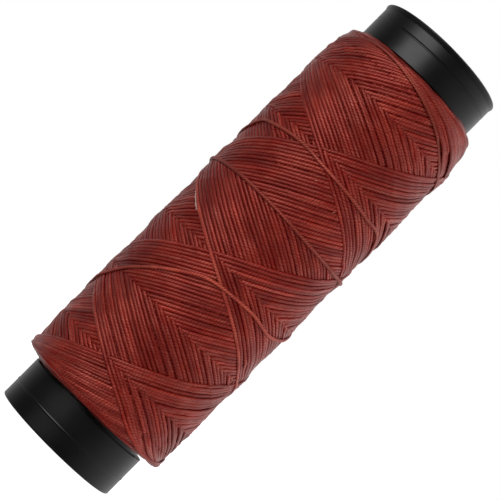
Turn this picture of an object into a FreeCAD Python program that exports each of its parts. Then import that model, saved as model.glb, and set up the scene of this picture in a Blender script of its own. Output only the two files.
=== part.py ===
import FreeCAD, Part
import math
import os

# Waxed thread spool: a moulded tube that stands on its foot end, and one thread wound crosswise on it.
# Millimetres. The origin is the middle of the foot's face, +Z runs along the tube's axis to its head end.
# Angles are in degrees about +Z, counted from +X towards +Y.

# Tube. Its wall is this thick at the foot, and the head end is a little wider.
tube_length = 106.0
bore_radius = 11.5
tube_wall = 2.45
head_widening = 0.25
bore_chamfer = 0.5
rim_round = 0.3

# Bare ends of the tube, beside the winding
foot_bare = 9.1
head_bare = 7.9
seat_depth = 1.15

# Fine rings moulded on the bare ends, each counted from its own end
foot_bead_place = 4.0
foot_bead_width = 0.5
foot_bead_height = 0.08
head_groove_place = 3.5
head_groove_width = 0.5
head_groove_depth = 0.15
lip_height = 1.1
lip_groove_width = 0.3
lip_groove_depth = 0.12
lip_flare = 0.2

# Thread
thread_diameter = 0.75
inner_layers_depth = 1.15
package_clearance = 0.3
turn_clearance = 0.3
thread_gap = 0.5
shoulder_round = 0.6

# Outer layer: crossed turns that run up and down the winding
turns = 24
double_strokes = 7
spans_per_stroke = 7
foot_reversal = 2.0
head_reversal = 1.8
last_foot_reversal_angle = 154.5

# Loose wraps: how far up the winding they pass at each quarter turn, 0 at its foot end and 1 at its head end
wrap_places = [0.148, 0.209, 0.385, 0.433, 0.504, 0.572, 0.580, 0.581, 0.626, 0.680, 0.711, 0.662, 0.601]
wrap_first_angle = 100.0

# Steps along the centre lines at which the gaps are measured
measure_step = 0.2

# Worked out from the sizes above
foot_radius = bore_radius + tube_wall
head_radius = foot_radius + head_widening
package_foot = foot_bare
package_head = tube_length - head_bare
package_length = package_head - package_foot
seat_radius = foot_radius - seat_depth
package_inner_radius = seat_radius + package_clearance
package_outer_radius = package_inner_radius + inner_layers_depth

span_angle = 360.0 * turns / (2 * double_strokes * spans_per_stroke)
# A half span at a reversal is curved, so it rises half as far as a straight half span
reversal_spans = 0.25
crossing_angle = 180.0 / double_strokes
crossing_share = (span_angle / 2 - crossing_angle) / span_angle
climb_at_crossing = 1 - 4 * crossing_share ** 2
inner_turn_radius = package_outer_radius + turn_clearance + thread_diameter / 2
outer_turn_radius = inner_turn_radius + (thread_diameter + thread_gap) / climb_at_crossing
wrap_radius = outer_turn_radius + thread_diameter + thread_gap

reversal_foot = package_foot + foot_reversal
reversal_head = package_head - head_reversal
spans_risen = spans_per_stroke - 1 + 2 * reversal_spans
rise_per_degree = (reversal_head - reversal_foot) / (span_angle * spans_risen)


def tube_radius(height):
    """Outer radius of the tube, which widens evenly from foot to head."""
    return foot_radius + head_widening * height / tube_length


def vector(radius, height):
    """A point of a section through the axis."""
    return FreeCAD.Vector(radius, 0, height)


def line(start, end):
    return Part.LineSegment(start, end).toShape()


def arc(start, middle, end):
    return Part.Arc(start, middle, end).toShape()


def turned(edges):
    """The solid that a closed section makes about the axis."""
    face = Part.Face(Part.Wire(edges))
    return face.revolve(FreeCAD.Vector(0, 0, 0), FreeCAD.Vector(0, 0, 1), 360)


def quarter_round(start, corner, end):
    """A quarter circle from start to end, rounding off the corner between them."""
    centre = start + end - corner
    middle = centre + (corner - centre).normalize() * (start - centre).Length
    return arc(start, middle, end)


def ring_on_side(place, width, height):
    """Three points of a fine ring on the tube's side: bottom, crest or trough, and top."""
    bottom = vector(tube_radius(place - width / 2), place - width / 2)
    middle = vector(tube_radius(place) + height, place)
    top = vector(tube_radius(place + width / 2), place + width / 2)
    return bottom, middle, top


def core_tube():
    bead = ring_on_side(foot_bead_place, foot_bead_width, foot_bead_height)
    groove = ring_on_side(tube_length - head_groove_place, head_groove_width, -head_groove_depth)
    lip = ring_on_side(tube_length - lip_height, lip_groove_width, -lip_groove_depth)
    lip_radius = head_radius + lip_flare
    foot_corner = vector(tube_radius(0), 0)
    head_corner = vector(lip_radius, tube_length)
    outline = [
        vector(bore_radius + bore_chamfer, 0),
        foot_corner - vector(rim_round, 0),
        foot_corner + vector(0, rim_round),
        bead[0],
        bead[2],
        vector(tube_radius(package_foot), package_foot),
        vector(seat_radius, package_foot),
        vector(seat_radius, package_head),
        vector(tube_radius(package_head), package_head),
        groove[0],
        groove[2],
        lip[0],
        lip[2],
        head_corner - vector(0, rim_round),
        head_corner - vector(rim_round, 0),
        vector(bore_radius + bore_chamfer, tube_length),
        vector(bore_radius, tube_length - bore_chamfer),
        vector(bore_radius, bore_chamfer),
    ]
    curved = {
        1: quarter_round(outline[1], foot_corner, outline[2]),
        3: arc(*bead),
        9: arc(*groove),
        11: arc(*lip),
        13: quarter_round(outline[13], head_corner, outline[14]),
    }
    edges = []
    for number, start in enumerate(outline):
        end = outline[(number + 1) % len(outline)]
        edges.append(curved.get(number) or line(start, end))
    return turned(edges)


def thread_package():
    """The inner layers of the winding, as one ring with rounded shoulders round the tube's seat."""
    foot = package_foot + package_clearance
    head = package_head - package_clearance
    foot_corner = vector(package_outer_radius, foot)
    head_corner = vector(package_outer_radius, head)
    inward = vector(shoulder_round, 0)
    along = vector(0, shoulder_round)
    inner_foot = vector(package_inner_radius, foot)
    inner_head = vector(package_inner_radius, head)
    return turned([
        line(inner_foot, foot_corner - inward),
        quarter_round(foot_corner - inward, foot_corner, foot_corner + along),
        line(foot_corner + along, head_corner - along),
        quarter_round(head_corner - along, head_corner, head_corner - inward),
        line(head_corner - inward, inner_head),
        line(inner_head, inner_foot),
    ])


def joint(angle, radius, height, rise):
    """A place on the thread's centre line and its direction there, for a rise in mm per degree."""
    turn = math.radians(angle)
    place = FreeCAD.Vector(radius * math.cos(turn), radius * math.sin(turn), height)
    around = FreeCAD.Vector(-math.sin(turn), math.cos(turn), 0) * radius
    return place, (around + FreeCAD.Vector(0, 0, math.degrees(rise))).normalize()


def arc_beside_corner(start, corner, end):
    """The arc that touches both sides of an even-sided corner at start and end."""
    chord_middle = (start + end) / 2
    half_turn = math.atan2((corner - chord_middle).Length, (end - start).Length / 2)
    bulge = math.tan(half_turn / 2) / math.tan(half_turn)
    return arc(start, chord_middle + (corner - chord_middle) * bulge, end)


def biarc(first, second):
    """Two arcs that join two places and keep the direction at both."""
    start, leaving = first
    end, arriving = second
    across = end - start
    both = leaving + arriving
    spread = 2 * (1 - leaving.dot(arriving))
    along = across.dot(both)
    reach = (math.sqrt(along ** 2 + spread * across.dot(across)) - along) / spread
    near_corner = start + leaving * reach
    far_corner = end - arriving * reach
    middle = (near_corner + far_corner) / 2
    return [arc_beside_corner(start, near_corner, middle), arc_beside_corner(middle, far_corner, end)]


def thread_path(joints):
    """Biarcs through the joints, with a straight run of one thread diameter at each end."""
    first_place, first_way = joints[0]
    last_place, last_way = joints[-1]
    edges = [line(first_place - first_way * thread_diameter, first_place)]
    for here, there in zip(joints, joints[1:]):
        edges += biarc(here, there)
    edges.append(line(last_place, last_place + last_way * thread_diameter))
    return Part.Wire(edges)


def thread_along(path):
    """The round thread along a path, as one unbroken tube."""
    start = path.Edges[0].valueAt(path.Edges[0].FirstParameter)
    way = path.Edges[0].tangentAt(path.Edges[0].FirstParameter)
    section = Part.Wire(Part.makeCircle(thread_diameter / 2, start, way))
    return path.makePipeShell([section], True, False)


def crossed_joints():
    """Joints of the crossed turns: each up stroke on the inner radius, each down stroke on the outer one.
    The thread climbs from one radius to the other in the quarter turn where it reverses."""
    joints = []
    angle = last_foot_reversal_angle + span_angle / 2
    for stroke in range(2 * double_strokes):
        going_up = stroke % 2 == 0
        radius = inner_turn_radius if going_up else outer_turn_radius
        rise = rise_per_degree if going_up else -rise_per_degree
        from_reversal = reversal_foot if going_up else reversal_head
        for span in range(spans_per_stroke):
            height = from_reversal + rise * span_angle * (span + reversal_spans)
            joints.append(joint(angle, radius, height, rise))
            angle += span_angle
    return joints[:-1]


def wrap_joints(start):
    """Joints of the loose wraps, which go on from where the crossed turns end."""
    joints = [start]
    for number, place in enumerate(wrap_places[:-1]):
        before = wrap_places[max(number - 1, 0)]
        after = wrap_places[number + 1]
        rise = (after - before) / 2 * package_length / 90
        height = package_foot + place * package_length
        joints.append(joint(wrap_first_angle + 90 * number, wrap_radius, height, rise))
    return joints


def centre_points(path):
    """Points along a path, each with its distance from the path's start."""
    points = []
    run = 0.0
    for edge in path.Edges:
        count = max(2, int(edge.Length / measure_step))
        for number, place in enumerate(edge.discretize(Number=count + 1)[:-1]):
            points.append((run + edge.Length * number / count, place))
        run += edge.Length
    return points


def smallest_gap(points, others, skipped):
    """Least gap between two threads, or of one to itself where stretches closer than skipped don't count."""
    cell = thread_diameter + 2 * thread_gap
    grid = {}
    for item in others:
        key = tuple(math.floor(value / cell) for value in item[1])
        grid.setdefault(key, []).append(item)
    smallest = cell
    for run, place in points:
        home = [math.floor(value / cell) for value in place]
        for shift in range(27):
            key = (home[0] + shift % 3 - 1, home[1] + shift // 3 % 3 - 1, home[2] + shift // 9 - 1)
            for other_run, other in grid.get(key, []):
                if abs(run - other_run) > skipped:
                    smallest = min(smallest, place.distanceToPoint(other))
    return smallest - thread_diameter


def main():
    os.makedirs("parts", exist_ok=True)
    turns_ends = crossed_joints()
    turns_path = thread_path(turns_ends)
    last_place, last_way = turns_ends[-1]
    wraps_path = thread_path(wrap_joints((last_place + last_way * 2 * thread_diameter, last_way)))
    shapes = {
        "core_tube": core_tube(),
        "thread_package": thread_package(),
        "crossed_turns": thread_along(turns_path),
        "closing_wraps": thread_along(wraps_path),
    }
    section_area = math.pi * thread_diameter ** 2 / 4
    for name, path in (("crossed_turns", turns_path), ("closing_wraps", wraps_path)):
        points = centre_points(path)
        gap = smallest_gap(points, points, 4 * thread_diameter)
        share = shapes[name].Volume / (section_area * path.Length)
        print(f"{name}: length {path.Length:.1f}, gap to itself {gap:.3f}, volume share {share:.4f}")
    joined = 6 * thread_diameter
    wrap_points = [item for item in centre_points(wraps_path) if item[0] > joined]
    between = smallest_gap(wrap_points, centre_points(turns_path), -1)
    print(f"closing_wraps: gap to crossed_turns {between:.3f}")
    for name, shape in shapes.items():
        print(f"{name}: valid {shape.isValid()}, solids {len(shape.Solids)}, volume {shape.Volume:.1f}")
        shape.exportStep(f"parts/{name}.step")


main()
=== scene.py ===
"""Waxed thread spool: a black plastic tube wound with dark red waxed thread.

The thread is laid stroke by stroke on the tube by the same rule that a winding
machine follows, so every strand of the last cover is a real swept strand that
crosses over and under its neighbours.
"""
import math

import bpy
import numpy as np
from mathutils import Matrix


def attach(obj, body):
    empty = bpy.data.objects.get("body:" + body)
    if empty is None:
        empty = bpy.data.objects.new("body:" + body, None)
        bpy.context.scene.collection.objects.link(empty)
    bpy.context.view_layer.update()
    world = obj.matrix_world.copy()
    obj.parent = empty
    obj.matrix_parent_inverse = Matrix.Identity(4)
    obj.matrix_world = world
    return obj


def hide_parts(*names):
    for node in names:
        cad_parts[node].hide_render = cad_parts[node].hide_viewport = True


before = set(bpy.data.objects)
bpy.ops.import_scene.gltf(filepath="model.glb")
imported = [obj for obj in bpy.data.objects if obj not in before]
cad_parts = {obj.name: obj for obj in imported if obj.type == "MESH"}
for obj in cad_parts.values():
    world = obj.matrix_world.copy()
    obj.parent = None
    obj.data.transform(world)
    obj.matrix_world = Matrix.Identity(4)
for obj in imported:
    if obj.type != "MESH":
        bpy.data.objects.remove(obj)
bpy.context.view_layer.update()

MM = 0.001
FULL_TURN = 360.0
rng = np.random.default_rng(2927)

# Thread and package, in millimetres. Each layer adds its growth to the radius.
THREAD_WIDTH = 0.75
THREAD_THICK = 0.54
LAYER_GROWTH = 0.38
SPACING = 0.745
BARE_RADIUS = 13.0
OUTER_RADIUS = 17.05

# The guide: millimetres of travel per degree, degrees per stroke, its lowest height, and how often
# the strokes cover the whole package
SLOPE = 0.1552
STROKE_TURN = 630.0
GUIDE_FOOT = 4.85
COVERS = 4.8

# Degrees by which the thread trails the guide at each end, for the first stroke and the last
FOOT_LAGS = (54.0, 60.0)
HEAD_LAGS = (48.0, 60.0)

# How much further out the first strokes turn back at the sides of the package, in millimetres
FOOT_SPREAD = 1.4
HEAD_SPREAD = 1.6

# Laying, in millimetres: the step along the thread, how tightly it bends over what lies beneath, and
# how soon a step from the stroke before it fades
SAMPLE = 0.1
DRAPE_RADIUS = 1.5
STEP_FADE = 1.5

# How far the highest place across a strand counts as its support, against the mean, and how many
# places are left out at each edge
CREST_SHARE = 0.6
EDGE_PLACES = 2
ROUNDING = 1e-9

# How far heights and slopes are evened out, in samples
HEIGHT_SOFTENING = 3.0
SLOPE_SOFTENING = 20.0

# Where the thread turns back it lies flatter, down to these shares
LEAST_THICK = 0.75
LEAST_GROWTH = 0.3

# Unevenness of the laying: spreads in millimetres, or as a share of the growth, over degrees wound
STROKE_JITTER = 0.065
FOOT_JITTER = 0.1
HEAD_JITTER = 0.045
REVERSAL_REACH = 55.0
WANDER_SIZE = 0.04
WANDER_LENGTH = 25.0
LIFT_SIZE = 0.14
LIFT_LENGTH = 140.0

# The map of the package's radius over angle and height
MAP_FOOT = 8.0
MAP_HEAD = 101.0
CELL = 0.1
MAP_ANGLES = 1080
MAP_HEIGHTS = int(round((MAP_HEAD - MAP_FOOT) / CELL))

# The places across a strand, from edge to edge, and how high its top stands over them
ACROSS = np.linspace(-1.0, 1.0, 11)
DOME = np.sqrt(np.maximum(1.0 - ACROSS ** 2, 0.0))

# Mean outside radius of the package over its height, once it is pressed and waxed, and the share
# of the strands' relief that is left
PROFILE_HEIGHTS = (10.8, 11.4, 12.2, 92.0, 94.0, 95.2, 96.4)
PROFILE_RADII = (16.9, 17.05, 17.1, 17.1, 16.95, 16.7, 16.3)
PROFILE_SOFTENING = 3.0
RELIEF_KEPT = 0.6

# The newest stroke passes this place on the side that faces the camera
FRONT_ANGLE = -17.5
FRONT_HEIGHT = 46.9
FRONT_STEPS = 5000

# The thread that closes the package: the last stroke runs on as loose wraps, and its tail goes
# under the wrap before it. Angles are counted on from the camera's side.
LAST_STROKE_END = 100.0
TAIL_START = 1151.8
WRAP_ANGLES = (
    112.0, 130.0, 160.0, 190.0, 225.0, 255.0, 284.9, 310.2, 330.7, 341.6, 351.9, 361.0, 374.1,
    390.8, 414.5, 433.4, 470.0, 540.0, 600.0, 643.9, 675.8, 699.2, 718.9, 738.1, 760.4, 791.5,
    830.0, 900.0, 960.0, 1003.6, 1011.5, 1029.8, 1046.2, 1059.2, 1075.0, 1086.3, 1102.1, 1120.5,
    1143.5, 1151.8, 1175.0, 1200.0, 1225.0, 1245.0, 1258.0,
)
WRAP_HEIGHTS = (
    26.6, 24.6, 22.7, 22.0, 22.6, 24.8, 28.6, 34.1, 38.5, 40.6, 42.4, 43.2, 43.7,
    44.0, 43.4, 44.6, 48.6, 54.5, 59.0, 60.5, 60.9, 60.9, 60.8, 60.5, 60.4, 60.5,
    60.9, 63.5, 66.0, 69.7, 71.4, 72.5, 73.0, 73.1, 72.7, 72.5, 72.2, 71.8,
    71.2, 69.5, 66.6, 64.6, 62.6, 60.2, 58.8,
)

# The route: the degrees before it that give it the last stroke's slope, and its steps at first
ROUTE_LEAD = 4.0
ROUTE_STEPS = 12000

# The wraps: how tightly they bend, their section, how deep they press in at first and later, the
# degrees over which they ease into that, and how far they are evened out, in samples
WRAP_DRAPE = 6.0
WRAP_WIDTH = 0.76
WRAP_THICK = 0.66
PRESSED_IN = 0.16
WRAP_PRESSED_IN = 0.05
WRAP_EASE = 90.0
WRAP_SOFTENING = 4.0

# The tail's first samples leave no mark on the map, over this width, because the wrap runs on there
JOINT_SAMPLES = 80
JOINT_WIDTH = 3 * WRAP_WIDTH

# How light the closing thread is at the listed angles along its length: lightest on its first wrap, darker
# on the last stroke and on the later wraps
CLOSING_TONE_ANGLES = (
    -140.0, -90.0, -50.0, -30.0, 10.0, 60.0, 300.0, 320.0,
    335.0, 350.0, 375.0, 430.0, 640.0, 800.0, 1000.0, 1150.0,
)
CLOSING_TONES = (
    -4.3, -2.0, 0.2, 1.2, 1.0, -0.5, -1.5, -2.0,
    1.0, 1.8, 0.8, 1.2, -4.0, -3.0, -2.8, -1.8,
)

# Swept strands: the sides of a ring, the samples from ring to ring, the width of a wound strand, and
# the power that makes its section fuller
SIDES = 8
RING_STEP = 4
DRAWN_WIDTH = 0.8
SHOULDER = 0.82

# The plies, and the millimetres along the thread from one ply to the next
PLIES = 3
PLY_LENGTH = 0.62

# The closing thread shows its plies, so it has finer rings with grooves between the plies. It widens
# between these two angles.
CLOSING_SIDES = 15
CLOSING_SOFTENING = 2.0
PLY_DEPTH = 0.16
WIDENING = (60.0, 140.0)

# A pile of strands becomes a piece once it has more triangles than this
TRIANGLES_PER_PIECE = 178000

# Older strands, in samples: the window that widens what shows of them, and the least stretch kept
SHOWN_WINDOW = 17
LEAST_STRETCH = 10

# The map for a bake: millimetres round a strand, a strip's margin in its row, and the caps' margin
# and size in theirs
GIRTH = 2.1
STRIP_MARGIN = 0.04
CAP_MARGIN = 0.02
CAP_SIZE = 0.3

# The body beneath the strands: how many covers before the end its shape is taken, its grid, its ends,
# how deep it lies, and how many cells away it looks for lower places
BODY_COVERS = 1.5
BODY_ANGLES = 270
BODY_HEIGHTS = 232
BODY_FOOT = 10.9
BODY_HEAD = 96.4
BODY_DEPTH = 0.22
BODY_LEAST_WALL = 0.15
BODY_BORE_GAP = 0.05
SHIFTS_ROUND = (-4, -2, 2, 4)
SHIFTS_ALONG = (-6, -3, 3, 6)

# Fine fibres that have pulled free of the thread on the camera's side: their route, and the shares
# of it between which each one starts and ends
FRAY_ANGLES = (-63.5, -58.5, -50.6, -45.7, -41.4)
FRAY_HEIGHTS = (53.5, 52.8, 51.5, 50.7, 49.9)
FRAY_STARTS = (0.0, 0.4)
FRAY_ENDS = (0.6, 1.0)

# The fibres' number, rings and sides, their width, and the share of it at their tips
FRAY_FIBRES = 5
FRAY_RINGS = 60
FRAY_SIDES = 6
FRAY_WIDTH = 0.09
FRAY_TIP = 0.4

# How far the fibres stray from the route and sway about it, and how far they stand off the package
FRAY_STRAY = 0.16
FRAY_SWAY = 0.12
FRAY_WAVES = 7.0
FRAY_PHASES = (0.0, 6.0)
FRAY_LIFT = 0.18
FRAY_LIFT_SHARES = (0.3, 1.0)

# Two short ends of fibre that stand up: angle and height of each, and their reach
STUBS = ((21.9, 68.0), (-0.5, 69.75))
STUB_RINGS = 12
STUB_TURN = 1.2
STUB_RISE = 0.35


# Laying the thread

def fall_back():
    """Degrees that each double stroke falls short of 3.5 turns, so that every second one lies one
    spacing further on."""
    pitch = math.atan(math.degrees(SLOPE) / OUTER_RADIUS)
    around = SPACING / math.sin(pitch)
    return math.degrees(around / OUTER_RADIUS) / 2


def trailing_heights(turn, lag_foot, lag_head):
    """Height of the thread over one double stroke, trailing the guide that lays it."""
    behind_foot = SLOPE * lag_foot
    behind_head = SLOPE * lag_head
    top = SLOPE * STROKE_TURN
    back = turn - STROKE_TURN
    leaving_foot = 2 * behind_foot * np.exp(-turn / lag_foot) - behind_foot
    leaving_head = behind_head - 2 * behind_head * np.exp(-np.maximum(back, 0) / lag_head)
    up_share = np.clip(turn / STROKE_TURN, 0, 1)
    down_share = np.clip(back / STROKE_TURN, 0, 1)
    rising = SLOPE * turn + leaving_foot * (1 - up_share) - behind_head * up_share
    falling = top - SLOPE * back + leaving_head * (1 - down_share) + behind_foot * down_share
    return np.where(turn < STROKE_TURN, rising, falling)


def wandering(length, spread, total):
    """A smooth random function of the wound angle, with one knot per length."""
    knots = rng.normal(0, spread, int(total / length) + 4)

    def at(angle):
        place = angle / length
        index = np.clip(place.astype(int), 0, len(knots) - 2)
        part = place - index
        part = part * part * (3 - 2 * part)
        return knots[index] * (1 - part) + knots[index + 1] * part

    return at


def softened(values, sigma):
    """Values along a line, evened out over some samples."""
    reach = int(3 * sigma) + 1
    weights = np.exp(-0.5 * (np.arange(-reach, reach + 1) / sigma) ** 2)
    return np.convolve(np.pad(values, reach, mode="edge"), weights / weights.sum(), mode="valid")


def drawn_taut(support, drape):
    """The line that a thread under tension takes over the heights beneath it."""
    place = np.arange(len(support)) * SAMPLE
    bowed = (support - place * place / (2 * drape)).tolist()
    hull = []
    for i, value in enumerate(bowed):
        while len(hull) >= 2:
            a, b = hull[-2], hull[-1]
            if (bowed[b] - bowed[a]) * (i - a) > (value - bowed[a]) * (b - a):
                break
            hull.pop()
        hull.append(i)
    return np.interp(place, place[hull], np.array(bowed)[hull]) + place * place / (2 * drape)


class Package:
    """The wound surface so far: its radius, and the stroke that lies on top, per cell."""

    def __init__(self):
        self.top = np.full(MAP_ANGLES * MAP_HEIGHTS, BARE_RADIUS)
        self.owner = np.full(MAP_ANGLES * MAP_HEIGHTS, -1, dtype=np.int32)

    def cells(self, angle, height):
        column = np.floor(angle / FULL_TURN * MAP_ANGLES).astype(np.int64) % MAP_ANGLES
        row = np.clip(((height - MAP_FOOT) / CELL).astype(np.int64), 0, MAP_HEIGHTS - 1)
        return column * MAP_HEIGHTS + row

    def under(self, angle, height, width):
        """The cells beneath a strand, across its whole width."""
        radius = self.top[self.cells(angle, height)]
        around = np.gradient(np.radians(angle)) * radius
        along = np.gradient(height)
        length = np.hypot(around, along)
        offset = ACROSS * width / 2
        side_angle = np.degrees(-(along / length / radius)[:, None] * offset)
        side_height = (around / length)[:, None] * offset
        return self.cells(angle[:, None] + side_angle, height[:, None] + side_height)

    def lay(
        self, angle, height, number, thick, growth, width=THREAD_WIDTH, drape=DRAPE_RADIUS, before=None
    ):
        """Lays one strand on what is there. Gives its centre line's radius."""
        cells = self.under(angle, height, width)
        inner = self.top[cells][:, EDGE_PLACES:-EDGE_PLACES]
        support = CREST_SHARE * inner.max(1) + (1 - CREST_SHARE) * inner.mean(1)
        centre = drawn_taut(support, drape) + growth - thick / 2
        if before is not None:
            step_off = before - centre[0]
            centre = centre + step_off * np.exp(-np.arange(len(centre)) * SAMPLE / STEP_FADE)
        centre = softened(centre, HEIGHT_SOFTENING)
        crest = (centre[:, None] + DOME * thick[:, None] / 2).ravel()
        flat = cells.ravel()
        np.maximum.at(self.top, flat, crest)
        mine = crest >= self.top[flat] - ROUNDING
        self.owner[flat[mine]] = number
        return centre


def front_angle(strokes, stroke_turn):
    """The wound angle that faces the camera, worked out from where the newest stroke passes."""
    newest = np.linspace(0, STROKE_TURN, FRONT_STEPS)
    height = GUIDE_FOOT + trailing_heights(newest + STROKE_TURN, FOOT_LAGS[1], HEAD_LAGS[1])
    passing = float(np.interp(-FRONT_HEIGHT, -height, newest))
    return (strokes - 1) * stroke_turn + passing * stroke_turn / STROKE_TURN - FRONT_ANGLE


def guided_height(turned, rising, share):
    """Height over one stroke, for its share of the way from the first stroke to the last."""
    lag_foot = FOOT_LAGS[0] + (FOOT_LAGS[1] - FOOT_LAGS[0]) * share
    lag_head = HEAD_LAGS[0] + (HEAD_LAGS[1] - HEAD_LAGS[0]) * share
    return GUIDE_FOOT + trailing_heights(turned + (0 if rising else STROKE_TURN), lag_foot, lag_head)


def samples_of(stroke_turn, share):
    """How many samples one stroke takes at the package's radius of that time."""
    radius = BARE_RADIUS + (OUTER_RADIUS - BARE_RADIUS) * share
    pitch = math.atan(math.degrees(SLOPE) / radius)
    return int(math.radians(stroke_turn) * radius / math.cos(pitch) / SAMPLE)


def wind():
    """Lays every stroke. Gives the package, each stroke's run, the map from before the outer covers,
    the wound angle that faces the camera, and the strokes in one cover."""
    back = fall_back()
    strokes = 2 * int(round(COVERS * FULL_TURN / (2 * back)))
    per_cover = int(round(FULL_TURN / back))
    stroke_turn = STROKE_TURN - back / 2
    total = strokes * stroke_turn
    front = front_angle(strokes, stroke_turn)
    strays = rng.normal(0, 1, strokes + 1)
    strays[0::2] *= FOOT_JITTER
    strays[1::2] *= HEAD_JITTER
    jitter = wandering(stroke_turn, STROKE_JITTER, total)
    wander = wandering(WANDER_LENGTH, WANDER_SIZE, total)
    lift = wandering(LIFT_LENGTH, LIFT_SIZE, total)
    package = Package()
    runs = []
    beneath = None
    before = None
    for n in range(strokes):
        share = n / strokes
        rising = n % 2 == 0
        turned = np.linspace(0, STROKE_TURN, samples_of(stroke_turn, share), endpoint=False)
        angle = n * stroke_turn + turned * stroke_turn / STROKE_TURN
        height = guided_height(turned, rising, share) + wander(angle) + jitter(angle)
        leaving = np.exp(-((turned / REVERSAL_REACH) ** 2))
        arriving = np.exp(-(((STROKE_TURN - turned) / REVERSAL_REACH) ** 2))
        height = height + strays[n] * leaving + strays[n + 1] * arriving
        sideways = np.sin(np.radians(angle - front))
        at_foot, at_head = (leaving, arriving) if rising else (arriving, leaving)
        height = height - FOOT_SPREAD * (1 - share) * np.maximum(-sideways, 0) ** 2 * at_foot
        height = height + HEAD_SPREAD * (1 - share) * sideways ** 2 * at_head
        slope = softened(np.abs(np.gradient(height) / np.gradient(angle)) / SLOPE, SLOPE_SOFTENING)
        thick = THREAD_THICK * np.clip(slope, LEAST_THICK, 1)
        growth = LAYER_GROWTH * np.clip(slope, LEAST_GROWTH, 1) * (1 + lift(angle))
        if n == strokes - int(BODY_COVERS * per_cover):
            beneath = package.top.copy()
        if n == strokes - 1:
            kept = angle - front <= LAST_STROKE_END
            angle, height, thick, growth = angle[kept], height[kept], thick[kept], growth[kept]
        centre = package.lay(angle, height, n, thick, growth, before=before)
        before = centre[-1]
        runs.append((angle, height, centre, thick))
    return package, runs, beneath, front, per_cover


def through(places, values, at):
    """A smooth curve through given points."""
    places, values = np.array(places), np.array(values)
    slopes = np.gradient(values, places)
    i = np.clip(np.searchsorted(places, at) - 1, 0, len(places) - 2)
    gap = places[i + 1] - places[i]
    t = (at - places[i]) / gap
    start = values[i] * (1 + 2 * t) * (1 - t) ** 2 + slopes[i] * gap * t * (1 - t) ** 2
    end = values[i + 1] * t ** 2 * (3 - 2 * t) + slopes[i + 1] * gap * t ** 2 * (t - 1)
    return start + end


def loose_route(start_angle, start_height):
    """The loose wraps' route at even steps: angles counted on from the last stroke, and heights."""
    places = (start_angle - ROUTE_LEAD, start_angle) + WRAP_ANGLES
    heights = (start_height + ROUTE_LEAD * SLOPE, start_height) + WRAP_HEIGHTS
    dense = np.linspace(start_angle, WRAP_ANGLES[-1], ROUTE_STEPS)
    height = through(places, heights, dense)
    length = np.hypot(np.gradient(np.radians(dense)) * OUTER_RADIUS, np.gradient(height)).cumsum()
    even = np.arange(length[0], length[-1], SAMPLE)
    return np.interp(even, length, dense), np.interp(even, length, height)


def lay_wraps(package, runs, front):
    """Lays the loose wraps over the package, its tail first so that a wrap holds it down."""
    last_angle, last_height, last_centre, last_thick = runs[-1]
    angle, height = loose_route(last_angle[-1] - front, last_height[-1])
    share = np.clip((angle - angle[0]) / WRAP_EASE, 0, 1)
    thick = last_thick[-1] + (WRAP_THICK - last_thick[-1]) * share
    tail = angle >= TAIL_START
    main = ~tail
    bare = package.top.copy()
    number = len(runs)
    growth = thick - PRESSED_IN * (1 - share) - WRAP_PRESSED_IN * share
    tail_centre = package.lay(
        angle[tail] + front, height[tail], number, thick[tail], growth[tail], WRAP_WIDTH, WRAP_DRAPE
    )
    joint_angle = angle[tail][:JOINT_SAMPLES] + front
    joint = package.under(joint_angle, height[tail][:JOINT_SAMPLES], JOINT_WIDTH)
    package.top[joint] = bare[joint]
    centre = package.lay(
        angle[main] + front, height[main], number, thick[main], growth[main], WRAP_WIDTH, WRAP_DRAPE,
        last_centre[-1]
    )
    centre = softened(np.concatenate([centre, tail_centre]), WRAP_SOFTENING)
    return angle, height, centre, thick


class Settled:
    """Turns laid radii into the pressed and waxed package's radii."""

    def __init__(self, package):
        self.heights = MAP_FOOT + (np.arange(MAP_HEIGHTS) + 0.5) * CELL
        self.laid = softened(package.top.reshape(MAP_ANGLES, MAP_HEIGHTS).mean(0), PROFILE_SOFTENING)
        inside = np.clip(self.heights, PROFILE_HEIGHTS[0], PROFILE_HEIGHTS[-1])
        wanted = np.interp(inside, PROFILE_HEIGHTS, PROFILE_RADII)
        squeeze = (wanted - BARE_RADIUS) / (np.interp(inside, self.heights, self.laid) - BARE_RADIUS)
        squeeze = softened(squeeze, PROFILE_SOFTENING)
        self.pressed = BARE_RADIUS + (self.laid - BARE_RADIUS) * squeeze
        self.slope = softened(np.gradient(self.pressed, CELL), PROFILE_SOFTENING)
        ends = (PROFILE_HEIGHTS[0], PROFILE_HEIGHTS[2], PROFILE_HEIGHTS[-3], PROFILE_HEIGHTS[-1])
        middle = np.interp(self.heights, ends, (0.0, 1.0, 1.0, 0.0))
        self.relief = squeeze * (1 - middle) + RELIEF_KEPT * middle

    def radius(self, radius, height):
        laid = np.interp(height, self.heights, self.laid)
        pressed = np.interp(height, self.heights, self.pressed)
        return pressed + np.interp(height, self.heights, self.relief) * (radius - laid)

    def lean(self, height):
        """How far the surface's outward direction leans along the axis."""
        return -np.interp(height, self.heights, self.slope)


# Mesh pieces

def placed(angle, height, radius):
    """Points at angles counted from the camera's side."""
    turned = np.radians(angle)
    return np.stack([radius * np.sin(turned), -radius * np.cos(turned), height], 1)


def across_flow(points, angle, lean):
    """Side and outward directions for each ring of a strand."""
    turned = np.radians(angle)
    out = np.stack([np.sin(turned), -np.cos(turned), lean], 1)
    flow = np.gradient(points, axis=0)
    flow /= np.linalg.norm(flow, axis=1, keepdims=True)
    side = np.cross(flow, out)
    side /= np.linalg.norm(side, axis=1, keepdims=True)
    out = np.cross(side, flow)
    return side, out


def shouldered(wave):
    """A sine or cosine made fuller, so that a round section gets fuller shoulders."""
    return np.sign(wave) * np.abs(wave) ** SHOULDER


def set_corners(layer, quads, caps):
    """Fills a map: two values for each corner of the quads, then for each corner of the caps."""
    corners = np.concatenate([np.stack(quads, 1).reshape(-1, 2), caps])
    layer.uv.foreach_set("vector", corners.astype(np.float32).ravel())


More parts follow.
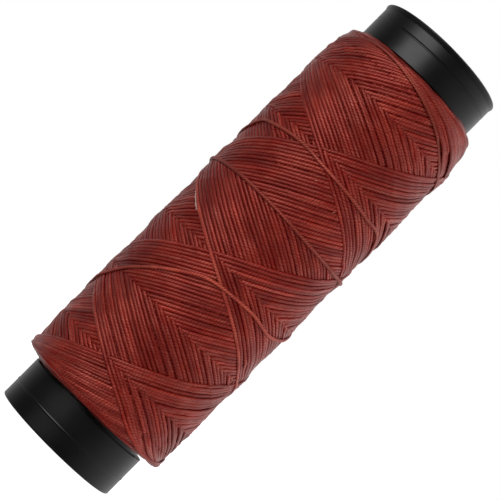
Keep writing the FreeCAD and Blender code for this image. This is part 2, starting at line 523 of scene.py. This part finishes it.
def linked(name, mesh):
    """A new object in the scene."""
    thing = bpy.data.objects.new(name, mesh)
    bpy.context.scene.collection.objects.link(thing)
    return thing


class Strands:
    """Gathers swept strands and makes one mesh of them."""

    def __init__(self, sides=SIDES):
        self.sides = sides
        self.points = []
        self.faces = []
        self.caps = []
        self.along = []
        self.tones = []
        self.count = 0

    def add(self, angle, height, radius, thick, width, lean, tone, started=0.0, ply_depth=0.0):
        """Sweeps one strand. Gives how far along the thread it ends."""
        centre = placed(angle, height, radius)
        side, out = across_flow(centre, angle, lean)
        around = np.linspace(0, 2 * np.pi, self.sides, endpoint=False)
        across = shouldered(np.cos(around))
        upward = shouldered(np.sin(around))
        wide = (across[None, :, None] * side[:, None, :]) * (width / 2)[:, None, None]
        high = (upward[None, :, None] * out[:, None, :]) * (thick / 2)[:, None, None]
        step = np.linalg.norm(np.diff(centre, axis=0), axis=1)
        place = started + np.concatenate([[0.0], np.cumsum(step)])
        ply = (PLIES * around[None, :] / (2 * np.pi) - place[:, None] / PLY_LENGTH) % 1.0
        lobed = 1 - ply_depth * (2 * ply - 1) ** 2
        rings = centre[:, None, :] + (wide + high) * lobed[:, :, None]
        n = len(centre)
        index = self.count + np.arange(n * self.sides).reshape(n, self.sides)
        beside = np.roll(index, -1, axis=1)
        quads = np.stack([index[:-1], index[1:], beside[1:], beside[:-1]], -1).reshape(-1, 4)
        self.points.append(rings.reshape(-1, 3))
        self.faces.append(quads)
        self.caps.append(index[0])
        self.caps.append(index[-1][::-1])
        self.along.append(np.repeat(np.stack([place[:-1], place[1:]], 1), self.sides, axis=0))
        self.tones.append(np.repeat(tone, self.sides))
        self.count += n * self.sides
        return place[-1]

    def triangles(self):
        return 2 * sum(len(f) for f in self.faces)

    def mesh(self, name):
        points = np.concatenate(self.points) * MM
        quads = np.concatenate(self.faces)
        loops = np.concatenate([quads.ravel(), np.concatenate(self.caps)])
        sizes = np.concatenate([np.full(len(quads), 4), np.full(len(self.caps), self.sides)])
        starts = np.concatenate([[0], np.cumsum(sizes)[:-1]])
        mesh = bpy.data.meshes.new(name)
        mesh.vertices.add(len(points))
        mesh.vertices.foreach_set("co", points.astype(np.float32).ravel())
        mesh.loops.add(len(loops))
        mesh.loops.foreach_set("vertex_index", loops.astype(np.int32))
        mesh.polygons.add(len(sizes))
        mesh.polygons.foreach_set("loop_start", starts.astype(np.int32))
        mesh.update(calc_edges=True)
        mesh.polygons.foreach_set("use_smooth", np.ones(len(sizes), bool))
        self.thread_map(mesh, len(quads))
        self.bake_map(mesh, len(quads) // self.sides)
        tone = mesh.attributes.new("tone", "FLOAT", "POINT")
        tone.data.foreach_set("value", np.concatenate(self.tones).astype(np.float32))
        return linked(name, mesh)

    def share_round(self, quads):
        """Where each quad starts and ends round its strand, from 0 to 1."""
        side = np.tile(np.arange(self.sides), quads // self.sides)
        return side / self.sides, (side + 1) / self.sides

    def thread_map(self, mesh, quads):
        """The map that runs along and round the thread, for its material."""
        v0, v1 = self.share_round(quads)
        u0, u1 = np.concatenate(self.along).T
        cap_corners = np.zeros((len(self.caps) * self.sides, 2))
        set_corners(mesh.uv_layers.new(name="Thread"), [u0, v0, u1, v0, u1, v1, u0, v1], cap_corners)

    def bake_map(self, mesh, rings):
        """The map that packs the strands in rows and the caps in a last row, for a bake."""
        v0, v1 = self.share_round(rings * self.sides)
        rows = max(1, int(math.sqrt(rings * SAMPLE * RING_STEP / GIRTH)))
        per_row = -(-rings // rows)
        ring = np.repeat(np.arange(rings), self.sides)
        row, column = ring // per_row, ring % per_row
        a0, a1 = column / per_row, (column + 1) / per_row
        used = 1 - 2 * STRIP_MARGIN
        b0 = (row + STRIP_MARGIN + used * v0) / (rows + 1)
        b1 = (row + STRIP_MARGIN + used * v1) / (rows + 1)
        spread = np.linspace(CAP_MARGIN, 1 - CAP_MARGIN, len(self.caps))
        turned = np.linspace(0, 2 * np.pi, self.sides, endpoint=False)
        small = CAP_SIZE / max(len(self.caps), rows + 1)
        cap_u = spread[:, None] + small * np.cos(turned)[None, :]
        cap_v = (rows + 0.5) / (rows + 1) + small * np.sin(turned)[None, :]
        cap_corners = np.stack([cap_u, np.broadcast_to(cap_v, cap_u.shape)], -1).reshape(-1, 2)
        set_corners(mesh.uv_layers.new(name="OFBake"), [a0, b0, a1, b0, a1, b1, a0, b1], cap_corners)


def thinned(run, first, last):
    """Every few samples of a run, both ends kept."""
    keep = np.unique(np.concatenate([np.arange(first, last, RING_STEP), [last - 1]]))
    return [values[keep] for values in run]


# The wound package, from which the pieces below are made
package, runs, beneath, front, per_cover = wind()
settled = Settled(package)
wrap_run = lay_wraps(package, runs, front)
first_shown = len(runs) - per_cover


def drawn(run, pile, started):
    """Adds a laid run to a pile as a strand of its own tone."""
    angle, height, centre, thick = run
    tone = np.full(len(angle), rng.normal(0, 1))
    width = np.full(len(angle), DRAWN_WIDTH)
    radius = settled.radius(centre, height)
    return pile.add(angle - front, height, radius, thick, width, settled.lean(height), tone, started)


def visible_parts(number, run):
    """Stretches of an older strand that nothing later covers, with a margin."""
    angle, height = run[:2]
    owned = (package.owner[package.under(angle, height, THREAD_WIDTH)] == number).any(1)
    shown = np.convolve(owned.astype(float), np.ones(SHOWN_WINDOW), mode="same") > 0.5
    edges = np.flatnonzero(np.diff(np.concatenate([[0], shown.astype(int), [0]])))
    return [(a, b) for a, b in edges.reshape(-1, 2) if b - a >= LEAST_STRETCH]


def in_pieces(name, strokes, add_stroke):
    """Piles strands up, stroke by stroke, and makes a numbered piece of every full pile."""
    pieces = []
    pile = Strands()
    for n in strokes:
        add_stroke(n, pile)
        if pile.triangles() > TRIANGLES_PER_PIECE:
            pieces.append(pile.mesh(f"{name}_{len(pieces) + 1}"))
            pile = Strands()
    if pile.faces:
        pieces.append(pile.mesh(f"{name}_{len(pieces) + 1}"))
    return pieces


def newest_windings():
    """The last cover, whole. Each stroke runs on into the next one."""
    started = {first_shown: 0.0}

    def add_stroke(n, pile):
        run = thinned(runs[n], 0, len(runs[n][0]))
        run = [np.concatenate([a, b[:1]]) for a, b in zip(run, runs[n + 1])]
        started[n + 1] = drawn(run, pile, started[n])

    return in_pieces("winding", range(first_shown, len(runs) - 1), add_stroke)


def older_windings():
    """Strands of the covers beneath, only where they show between the newest ones."""

    def add_stroke(n, pile):
        for a, b in visible_parts(n, runs[n]):
            drawn(thinned(runs[n], a, b), pile, 0.0)

    return in_pieces("under_winding", range(first_shown), add_stroke)


def closing_thread():
    """The last stroke and the loose wraps, which are one length of thread."""
    last = runs[-1]
    angle = np.concatenate([last[0] - front, wrap_run[0]])
    height = np.concatenate([last[1], wrap_run[1]])
    radius = np.concatenate([settled.radius(last[2], last[1]), settled.radius(wrap_run[2], wrap_run[1])])
    radius = softened(radius, CLOSING_SOFTENING)
    thick = np.concatenate([last[3], wrap_run[3]])
    width = np.interp(angle, WIDENING, (DRAWN_WIDTH, WRAP_WIDTH))
    tone = np.interp(angle, CLOSING_TONE_ANGLES, CLOSING_TONES)
    pile = Strands(CLOSING_SIDES)
    pile.add(angle, height, radius, thick, width, settled.lean(height), tone, ply_depth=PLY_DEPTH)
    return pile.mesh("closing_thread")


def package_body():
    """The wound mass beneath the strands: a closed body that fills the space under them."""
    grid = np.minimum(beneath, package.top).reshape(MAP_ANGLES, MAP_HEIGHTS)
    low = grid.copy()
    for shift in SHIFTS_ROUND:
        low = np.minimum(low, np.roll(grid, shift, 0))
    for shift in SHIFTS_ALONG:
        low = np.minimum(low, np.roll(grid, shift, 1))
    column = np.arange(BODY_ANGLES) * MAP_ANGLES // BODY_ANGLES
    row = np.arange(BODY_HEIGHTS) * MAP_HEIGHTS // BODY_HEIGHTS
    up = MAP_FOOT + (row + 0.5) * CELL
    inside = (up > BODY_FOOT) & (up < BODY_HEAD)
    row, up = row[inside], up[inside]
    radius = settled.radius(low[np.ix_(column, row)].ravel(), np.tile(up, BODY_ANGLES)) - BODY_DEPTH
    radius = np.maximum(radius, BARE_RADIUS + BODY_LEAST_WALL)
    turned = (column + 0.5) * FULL_TURN / MAP_ANGLES - front
    outer = placed(np.repeat(turned, len(up)), np.tile(up, BODY_ANGLES), radius)
    bore = np.full(2 * BODY_ANGLES, BARE_RADIUS + BODY_BORE_GAP)
    inner = placed(np.repeat(turned, 2), np.tile([up[-1], up[0]], BODY_ANGLES), bore)
    points = np.concatenate([outer.reshape(BODY_ANGLES, -1, 3), inner.reshape(BODY_ANGLES, 2, 3)], 1)
    index = np.arange(points.shape[0] * points.shape[1]).reshape(BODY_ANGLES, -1)
    beside = np.roll(index, -1, axis=0)
    quads = np.stack([index, beside, np.roll(beside, -1, 1), np.roll(index, -1, 1)], -1).reshape(-1, 4)
    mesh = bpy.data.meshes.new("package_body")
    mesh.from_pydata((points.reshape(-1, 3) * MM).tolist(), [], quads.tolist())
    mesh.polygons.foreach_set("use_smooth", np.ones(len(quads), bool))
    return linked("package_body", mesh)


def fibre(pile, angle, height, lift):
    """One fine fibre, resting on the package at its ends and bowed clear of it between them."""
    bow = np.sin(np.linspace(0, math.pi, len(angle)))
    rest = settled.radius(package.top[package.cells(angle + front, height)], height)
    radius = softened(rest, HEIGHT_SOFTENING) + FRAY_WIDTH / 2 + lift * bow
    girth = FRAY_WIDTH * (FRAY_TIP + (1 - FRAY_TIP) * bow)
    pile.add(angle, height, radius, girth, girth, settled.lean(height), np.zeros(len(angle)))


def frayed_fibres():
    """The fray along the newest stroke, and the two short ends that stand up."""
    pile = Strands(FRAY_SIDES)
    knots = np.linspace(0, 1, len(FRAY_ANGLES))
    for _ in range(FRAY_FIBRES):
        share = np.linspace(rng.uniform(*FRAY_STARTS), rng.uniform(*FRAY_ENDS), FRAY_RINGS)
        angle = softened(np.interp(share, knots, FRAY_ANGLES), HEIGHT_SOFTENING)
        sway = FRAY_SWAY * np.sin(FRAY_WAVES * share + rng.uniform(*FRAY_PHASES))
        height = softened(np.interp(share, knots, FRAY_HEIGHTS), HEIGHT_SOFTENING)
        height = height + rng.uniform(-FRAY_STRAY, FRAY_STRAY) + sway
        fibre(pile, angle, height, rng.uniform(*FRAY_LIFT_SHARES) * FRAY_LIFT)
    for stub_angle, stub_height in STUBS:
        reach = np.linspace(-0.5, 0.5, STUB_RINGS)
        fibre(pile, stub_angle + reach * STUB_TURN, stub_height + reach * STUB_RISE, FRAY_LIFT)
    return pile.mesh("frayed_fibres")


# Materials

def linear(red, green, blue):
    """An sRGB colour of 0 to 255 as the linear colour a shader takes."""
    shares = [value / 255 for value in (red, green, blue)]
    return tuple(x / 12.92 if x <= 0.04045 else ((x + 0.055) / 1.055) ** 2.4 for x in shares) + (1.0,)


# The thread's red, its warmer shade, a deep red that paints shade between the strands and in the grooves
# between plies, and a haze on the crests that is partly the wax's bloom and partly a painted sheen
THREAD_COLOURS = (linear(104, 1, 1), linear(113, 13, 2), linear(88, 0, 0), linear(143, 84, 73))
# The closing thread's colours: a lighter copy of the thread's, painted light for a thread that stands
# clear of the package
CLOSING_LIT_COLOURS = (linear(140, 45, 37), linear(143, 54, 38), linear(80, 2, 1), linear(162, 90, 77))
FIBRE_SHINE = (0.9, 0.24, 0.19, 1.0)
# The wound mass beneath the strands: darker reds than the thread, painted shade
UNDER_SHADE_DEEP = linear(76, 1, 1)
UNDER_SHADE_RED = linear(94, 3, 2)
FIBRE_DARK = linear(150, 112, 104)
FIBRE_PALE = linear(226, 214, 206)
CORE_BLACK = linear(12, 12, 12)
CORE_WORN = linear(21, 21, 21)
WHITE = (1.0, 1.0, 1.0, 1.0)

# Most of a noise's values lie in the first band. The narrow one makes a change sharper, and the wide
# one makes it softer.
NOISE_BAND = (0.3, 0.7)
NARROW_BAND = (0.35, 0.65)
WIDE_BAND = (0.2, 0.8)
WHOLE = (0.0, 1.0)

# Noises along a strand, per millimetre, and how much each is stretched or moved on
DRIFT_PACE = 0.9
FIBRE_PACE = 2.5
FIBRE_STRETCH = 0.8
FIBRE_ACROSS = 5.0
FIBRE_ROUGH = 0.6
PATCH_PACE = 0.35
STREAK_PACE = 0.07
STREAK_STEP = 40.0

# Noises over the object, per metre
HUE_SCALE = 260.0
CLOUD_SCALE = 130.0
BLOTCH_SCALE = 480.0

# Bands round the section, over a ply and of the hue in which the thread's colours change. The flank and
# groove bands place the painted shade, and the crest bands place the painted sheen.
FLANK_BAND = (0.15, 0.8)
CREST_BAND = (0.6, 1.0)
GROOVE_BAND = (0.0, 0.75)
LOBE_BAND = (0.0, 0.8)
PLY_CREST_BAND = (0.4, 1.0)
HUE_BAND = (0.42, 0.62)

# The strength of each change in colour, bloom and shade. The groove's and the lobe's are painted shade,
# and the bloom is partly a painted sheen.
HUE_STREAK = 0.12
GROOVE_SHADE = 0.5
LEAST_CREST = 0.1
PATCH_BLOOM_SHEEN = (0.25, 0.75)
STREAK_BLOOM_SHEEN = (0.45, 1.0)
TONE_BAND = (-5.0, 2.5)
TONE_SHADE = (0.48, 1.26)
LOBE_SHADE = (0.76, 1.04)
FIBRE_SHADE = 0.1
STREAK_SHADE = 0.22
CLOUD_SHADE = 0.12
BLOTCH_SHADE = 0.06

# The wax's sheen, and how far the fibres stand out against the plies
WAX_ROUGH = (0.37, 0.31)
STREAK_ROUGH = 0.05
WAX_IOR = 1.55
FIBRE_RELIEF = 0.5

# Relief of the plies in millimetres, and how much their twist drifts along the thread
WOUND_PLY_RELIEF = 0.03
WOUND_PLY_DRIFT = 1.6
CLOSING_PLY_RELIEF = 0.04
CLOSING_PLY_DRIFT = 0.0

# The tube's plastic: noises per metre, how much closer the mould's rings lie along the tube, and what
# wear, rings and skin do to its colour, roughness and relief
SKIN_SCALE = 900.0
WEAR_SCALE = 90.0
RING_SCALE = 420.0
RING_CLOSENESS = 14.0
WEAR_BAND = (0.45, 0.8)
WEAR_SHARE = (0.0, 0.5)
WEAR_ROUGH_BAND = (0.3, 0.75)
WEAR_ROUGH = (0.3, 0.38)
RING_ROUGH = (-0.02, 0.03)
SKIN_RELIEF = 0.6
RING_RELIEF = 0.5
CORE_RELIEF = 0.008
CORE_BUMP = 0.6
CORE_SHEEN = 0.45


class Nodes:
    """A small helper that builds the nodes of one material or world."""

    def __init__(self, tree, output):
        self.tree = tree
        self.tree.nodes.clear()
        self.out = self.tree.nodes.new(output)

    def node(self, kind, settings=None, **inputs):
        """A new node. Its inputs are given by name, or by place as i0, i1 and so on."""
        node = self.tree.nodes.new(kind)
        for key, value in (settings or {}).items():
            setattr(node, key, value)
        for key, value in inputs.items():
            self.feed(node, key, value)
        return node

    def feed(self, node, key, value):
        socket = node.inputs[int(key[1:])] if key[1:].isdigit() else node.inputs[key.replace("_", " ")]
        if isinstance(value, bpy.types.NodeSocket):
            self.tree.links.new(value, socket)
        else:
            socket.default_value = value

    def math(self, operation, *values):
        inputs = {f"i{k}": value for k, value in enumerate(values)}
        return self.node("ShaderNodeMath", {"operation": operation}, **inputs).outputs[0]

    def plus(self, first, second):
        return self.math("ADD", first, second)

    def minus(self, first, second):
        return self.math("SUBTRACT", first, second)

    def times(self, first, *others):
        for other in others:
            first = self.math("MULTIPLY", first, other)
        return first

    def larger(self, first, second):
        return self.math("MAXIMUM", first, second)

    def vector(self, **parts):
        return self.node("ShaderNodeCombineXYZ", **parts).outputs[0]

    def parts(self, vector):
        return list(self.node("ShaderNodeSeparateXYZ", Vector=vector).outputs)

    def place(self):
        """The place on the object, in metres."""
        return self.node("ShaderNodeTexCoord").outputs["Object"]

    def mix(self, share, first, second):
        """Two colours mixed. A mix node keeps its colours in the inputs 6 and 7."""
        return self.node("ShaderNodeMix", {"data_type": "RGBA"}, i0=share, i6=first, i7=second).outputs[2]

    def noise(self, place, scale, detail=2.0, rough=0.5):
        node = self.node("ShaderNodeTexNoise", Vector=place, Scale=scale, Detail=detail, Roughness=rough)
        return node.outputs["Fac"]

    def spread(self, value, band, reach):
        """Carries a value from one band to another."""
        node = self.node("ShaderNodeMapRange", i0=value, i1=band[0], i2=band[1], i3=reach[0], i4=reach[1])
        return node.outputs[0]

    def around_one(self, value, amount, band=NOISE_BAND):
        """A factor that follows a value and swings by an amount to both sides of 1."""
        return self.spread(value, band, (1 - amount, 1 + amount))

    def bump(self, height, distance, strength=1.0):
        """A normal from a relief of so many millimetres."""
        node = self.node("ShaderNodeBump", Strength=strength, Distance=distance * MM, Height=height)
        return node.outputs[0]

    def surface(self, colour, rough, normal, **constants):
        shader = self.node(
            "ShaderNodeBsdfPrincipled", Base_Color=colour, Roughness=rough, Normal=normal, **constants
        )
        self.feed(self.out, "Surface", shader.outputs[0])


def new_material(name):
    """A new material, and the helper for its nodes."""
    material = bpy.data.materials.new(name)
    material.use_nodes = True
    return material, Nodes(material.node_tree, "ShaderNodeOutputMaterial")


def thread_material(name, colours, ply_relief, ply_drift):
    """Waxed thread: deep red painted as shade on the flanks and between plies, a bloom on the crests that
    is partly wax and partly painted sheen, three twisted plies.
    """
    red, warm, painted_shade_red, haze_and_sheen = colours
    material, nodes = new_material(name)
    thread_map = nodes.node("ShaderNodeUVMap", {"uv_map": "Thread"}).outputs[0]
    along, around = nodes.parts(thread_map)[:2]
    tone = nodes.node("ShaderNodeAttribute", {"attribute_name": "tone"}).outputs["Fac"]
    outward = nodes.math("SINE", nodes.times(around, 2 * math.pi))

    # A ply's lobe, 0 in the groove between two plies and 1 on its crest
    drift = nodes.noise(nodes.vector(X=along, Y=tone), DRIFT_PACE)
    twisted = nodes.plus(nodes.math("DIVIDE", along, PLY_LENGTH), nodes.times(drift, ply_drift))
    ply = nodes.math("FRACT", nodes.minus(nodes.times(around, PLIES), twisted))
    swing = nodes.minus(nodes.times(ply, 2.0), 1.0)
    lobe = nodes.minus(1.0, nodes.times(swing, swing))

    # Noises along the strand, then over the object
    strewn = nodes.vector(X=nodes.times(along, FIBRE_STRETCH), Y=nodes.times(ply, FIBRE_ACROSS), Z=outward)
    fibres = nodes.noise(strewn, FIBRE_PACE, 4.0, FIBRE_ROUGH)
    patch = nodes.noise(nodes.vector(X=along, Y=outward, Z=tone), PATCH_PACE, 3.0)
    streak = nodes.noise(nodes.vector(X=along, Y=nodes.times(tone, STREAK_STEP)), STREAK_PACE)
    place = nodes.place()
    cloud = nodes.noise(place, CLOUD_SCALE)
    blotch = nodes.noise(place, BLOTCH_SCALE)

    # Colour: the flanks and the grooves between plies go towards the deep red as painted shade
    streak_hue = nodes.spread(streak, NOISE_BAND, (-HUE_STREAK, HUE_STREAK))
    hue = nodes.plus(nodes.noise(place, HUE_SCALE), streak_hue)
    colour = nodes.mix(nodes.spread(hue, HUE_BAND, WHOLE), red, warm)
    colour = nodes.mix(nodes.spread(outward, FLANK_BAND, WHOLE), painted_shade_red, colour)
    colour = nodes.mix(nodes.spread(lobe, GROOVE_BAND, (GROOVE_SHADE, 0.0)), colour, painted_shade_red)
    # The crests go towards the haze, which is partly the wax's own bloom and partly a painted sheen
    bloom_and_sheen = nodes.times(
        nodes.spread(outward, CREST_BAND, WHOLE),
        nodes.spread(lobe, PLY_CREST_BAND, (LEAST_CREST, 1.0)),
        nodes.spread(patch, NOISE_BAND, PATCH_BLOOM_SHEEN),
        nodes.spread(streak, NARROW_BAND, STREAK_BLOOM_SHEEN),
    )
    colour = nodes.mix(bloom_and_sheen, colour, haze_and_sheen)
    # Lighter and darker by strand, fibre, streak, cloud and blotch, with painted shade in the grooves
    # between plies
    shade = nodes.times(
        nodes.spread(tone, TONE_BAND, TONE_SHADE),
        nodes.around_one(fibres, FIBRE_SHADE, WIDE_BAND),
        nodes.spread(lobe, LOBE_BAND, LOBE_SHADE),
        nodes.around_one(streak, STREAK_SHADE),
        nodes.around_one(cloud, CLOUD_SHADE),
        nodes.around_one(blotch, BLOTCH_SHADE),
    )
    grey = nodes.vector(X=shade, Y=shade, Z=shade)
    colour = nodes.node("ShaderNodeVectorMath", {"operation": "MULTIPLY"}, i0=colour, i1=grey).outputs[0]

    # Sheen and relief
    streak_rough = nodes.spread(streak, NOISE_BAND, (STREAK_ROUGH, -STREAK_ROUGH))
    rough = nodes.plus(nodes.spread(blotch, NARROW_BAND, WAX_ROUGH), streak_rough)
    relief = nodes.bump(nodes.plus(lobe, nodes.times(fibres, FIBRE_RELIEF)), ply_relief)
    nodes.surface(colour, rough, relief, Specular_IOR_Level=1.0, Specular_Tint=FIBRE_SHINE, IOR=WAX_IOR)
    return material


def core_material():
    """Moulded plastic: near black, a little worn in patches, with faint rings from its mould."""
    material, nodes = new_material("core_plastic")
    place = nodes.place()
    skin = nodes.noise(place, SKIN_SCALE, 3.0)
    wear = nodes.noise(place, WEAR_SCALE, 3.0)
    x, y, z = nodes.parts(place)
    rings = nodes.noise(nodes.vector(X=x, Y=y, Z=nodes.times(z, RING_CLOSENESS)), RING_SCALE)
    colour = nodes.mix(nodes.spread(wear, WEAR_BAND, WEAR_SHARE), CORE_BLACK, CORE_WORN)
    wear_rough = nodes.spread(wear, WEAR_ROUGH_BAND, WEAR_ROUGH)
    rough = nodes.plus(wear_rough, nodes.spread(rings, NOISE_BAND, RING_ROUGH))
    height = nodes.plus(nodes.times(skin, SKIN_RELIEF), nodes.times(rings, RING_RELIEF))
    relief = nodes.bump(height, CORE_RELIEF, CORE_BUMP)
    nodes.surface(colour, rough, relief, Specular_IOR_Level=CORE_SHEEN)
    return material


def clouded_material(name, dark, light, scale, detail, rough, relief, strength, sheen):
    """A dull material whose colour, roughness and relief follow one noise."""
    material, nodes = new_material(name)
    cloud = nodes.noise(nodes.place(), scale, detail)
    colour = nodes.mix(nodes.spread(cloud, NOISE_BAND, WHOLE), dark, light)
    relief = nodes.bump(cloud, relief, strength)
    nodes.surface(colour, nodes.spread(cloud, NOISE_BAND, rough), relief, Specular_IOR_Level=sheen)
    return material


def body_material():
    """The wound mass beneath the strands, in darker reds than the thread: painted shade."""
    return clouded_material(
        "thread_under", UNDER_SHADE_DEEP, UNDER_SHADE_RED,
        scale=700.0, detail=3.0, rough=(0.6, 0.75), relief=0.08, strength=1.0, sheen=0.2
    )


def fibre_material():
    """Pale, nearly white fibres."""
    return clouded_material(
        "frayed_fibre", FIBRE_DARK, FIBRE_PALE,
        scale=2600.0, detail=2.0, rough=(0.5, 0.65), relief=0.02, strength=0.5, sheen=0.3
    )


# The pieces, each with its material, its body and what it stands for

def dress(piece, material):
    """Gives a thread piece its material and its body."""
    piece.data.materials.append(material)
    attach(piece, "root")


waxed = thread_material("waxed_thread", THREAD_COLOURS, WOUND_PLY_RELIEF, WOUND_PLY_DRIFT)
for piece in newest_windings() + older_windings():
    dress(piece, waxed)
    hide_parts("crossed_turns")

closing = closing_thread()
# The closing thread takes the lighter copy of the thread's colours, painted light for where it stands
# clear of the package
dress(closing, thread_material(
    "waxed_thread_closing", CLOSING_LIT_COLOURS, CLOSING_PLY_RELIEF, CLOSING_PLY_DRIFT
))
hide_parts("closing_wraps", "crossed_turns")

dress(frayed_fibres(), fibre_material())

body = package_body()
dress(body, body_material())
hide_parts("thread_package")

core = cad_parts["core_tube"]
core.data.materials.clear()
core.data.materials.append(core_material())


# The stage: floor, world, lamps and camera, in metres

FLOOR_SIZE = 12.0
FLOOR_DROP = 0.05 * MM
FLOOR_COLOUR = (0.85, 0.85, 0.85, 1.0)
FLOOR_LIFT = 0.8
SPOOL_MIDDLE = 0.053

# Light on the spool, and the backdrop that glossy rays see: how light it is at its brightest and at
# its darkest, which way its bright side lies, and how far that reaches round
WORLD_LIGHT = 0.28
BACKDROP_SHEEN = 0.85
WORLD_SHEEN = 0.004
BACKDROP_ANGLE = math.radians(150.0)
BACKDROP_WRAP = 0.5

CAMERA_PLACE = (0.2715 * MM, -347.07 * MM, 35.13 * MM)
CAMERA_TILT = math.radians(2.9295)
CAMERA_ROLL = math.radians(44.969)
CAMERA_LENS = 128.7176
CAMERA_SENSOR = 36.0
CAMERA_NEAR = 0.01


def seen_directly(nodes, path):
    """1 for rays that come from the camera, also through clear things, and 0 for others."""
    return nodes.larger(path["Is Camera Ray"], path["Is Transmission Ray"])


def lay_floor():
    """A pale matte floor that the camera sees as white, with the spool's shadow on it."""
    bpy.ops.mesh.primitive_plane_add(size=FLOOR_SIZE, location=(0, 0, -FLOOR_DROP))
    floor = bpy.context.object
    floor.name = "floor"
    material, nodes = new_material("floor_white")
    path = nodes.node("ShaderNodeLightPath").outputs
    seen = nodes.larger(seen_directly(nodes, path), path["Is Glossy Ray"])
    matte = nodes.node("ShaderNodeBsdfDiffuse", Color=FLOOR_COLOUR)
    glow = nodes.node("ShaderNodeEmission", Color=WHITE, Strength=nodes.times(seen, FLOOR_LIFT))
    both = nodes.node("ShaderNodeAddShader", i0=matte.outputs[0], i1=glow.outputs[0])
    nodes.feed(nodes.out, "Surface", both.outputs[0])
    floor.data.materials.append(material)
    floor.visible_glossy = False


def light_world():
    """White to the camera, and even light on the spool. Glossy rays see the backdrop instead: pale
    behind the spool and dim on the camera's side."""
    world = bpy.data.worlds.new("studio")
    bpy.context.scene.world = world
    world.use_nodes = True
    nodes = Nodes(world.node_tree, "ShaderNodeOutputWorld")
    path = nodes.node("ShaderNodeLightPath").outputs
    direction = nodes.node("ShaderNodeTexCoord").outputs["Generated"]
    behind = (math.sin(BACKDROP_ANGLE), -math.cos(BACKDROP_ANGLE), 0.0)
    toward = nodes.node("ShaderNodeVectorMath", {"operation": "DOT_PRODUCT"}, i0=direction, i1=behind)
    nearness = nodes.plus(toward.outputs["Value"], BACKDROP_WRAP)
    backdrop = nodes.times(nearness, BACKDROP_SHEEN / (1.0 + BACKDROP_WRAP))
    backdrop = nodes.larger(backdrop, WORLD_SHEEN)
    lifted = nodes.times(nodes.minus(backdrop, WORLD_LIGHT), path["Is Glossy Ray"])
    level = nodes.plus(nodes.times(seen_directly(nodes, path), 1.0 - WORLD_LIGHT), lifted)
    level = nodes.plus(level, WORLD_LIGHT)
    sky = nodes.node("ShaderNodeBackground", Strength=level, Color=WHITE)
    nodes.feed(nodes.out, "Surface", sky.outputs[0])


def soft_lamp(name, angle, height, distance, size, brightness, mirrored):
    """A square lamp that faces the spool: angle 0 is the camera's side, growing to its right."""
    data = bpy.data.lights.new(name, "AREA")
    data.shape = "SQUARE"
    data.size = size
    data.energy = brightness * math.pi * size * size
    turned = math.radians(angle)
    place = np.array([distance * math.sin(turned), -distance * math.cos(turned), height])
    back = place - np.array([0, 0, SPOOL_MIDDLE])
    back /= np.linalg.norm(back)
    side = np.cross([0, 0, 1.0], back)
    side /= np.linalg.norm(side)
    matrix = Matrix.Identity(4)
    for row, parts in enumerate(zip(side, np.cross(back, side), back, place)):
        for column, part in enumerate(parts):
            matrix[row][column] = part
    lamp = linked(name, data)
    lamp.matrix_world = matrix
    lamp.visible_glossy = mirrored


def place_camera():
    """The photograph's camera: it looks along +Y from a little below the middle, rolled to one side."""
    lens = bpy.data.cameras.new("camera")
    lens.sensor_width = CAMERA_SENSOR
    lens.lens = CAMERA_LENS
    lens.clip_start = CAMERA_NEAR
    camera = linked("camera", lens)
    camera.matrix_world = (
        Matrix.Translation(CAMERA_PLACE)
        @ Matrix.Rotation(math.pi / 2 + CAMERA_TILT, 4, "X")
        @ Matrix.Rotation(CAMERA_ROLL, 4, "Z")
    )
    bpy.context.scene.camera = camera


lay_floor()
light_world()
soft_lamp("key", angle=-36.0, height=0.38, distance=0.72, size=0.62, brightness=3.4, mirrored=True)
soft_lamp("fill_right", angle=46.0, height=0.12, distance=0.9, size=0.9, brightness=1.8, mirrored=False)
soft_lamp("back_right", angle=112.0, height=0.12, distance=0.7, size=0.6, brightness=4.2, mirrored=False)
place_camera()
bpy.context.scene.view_settings.view_transform = "Standard"
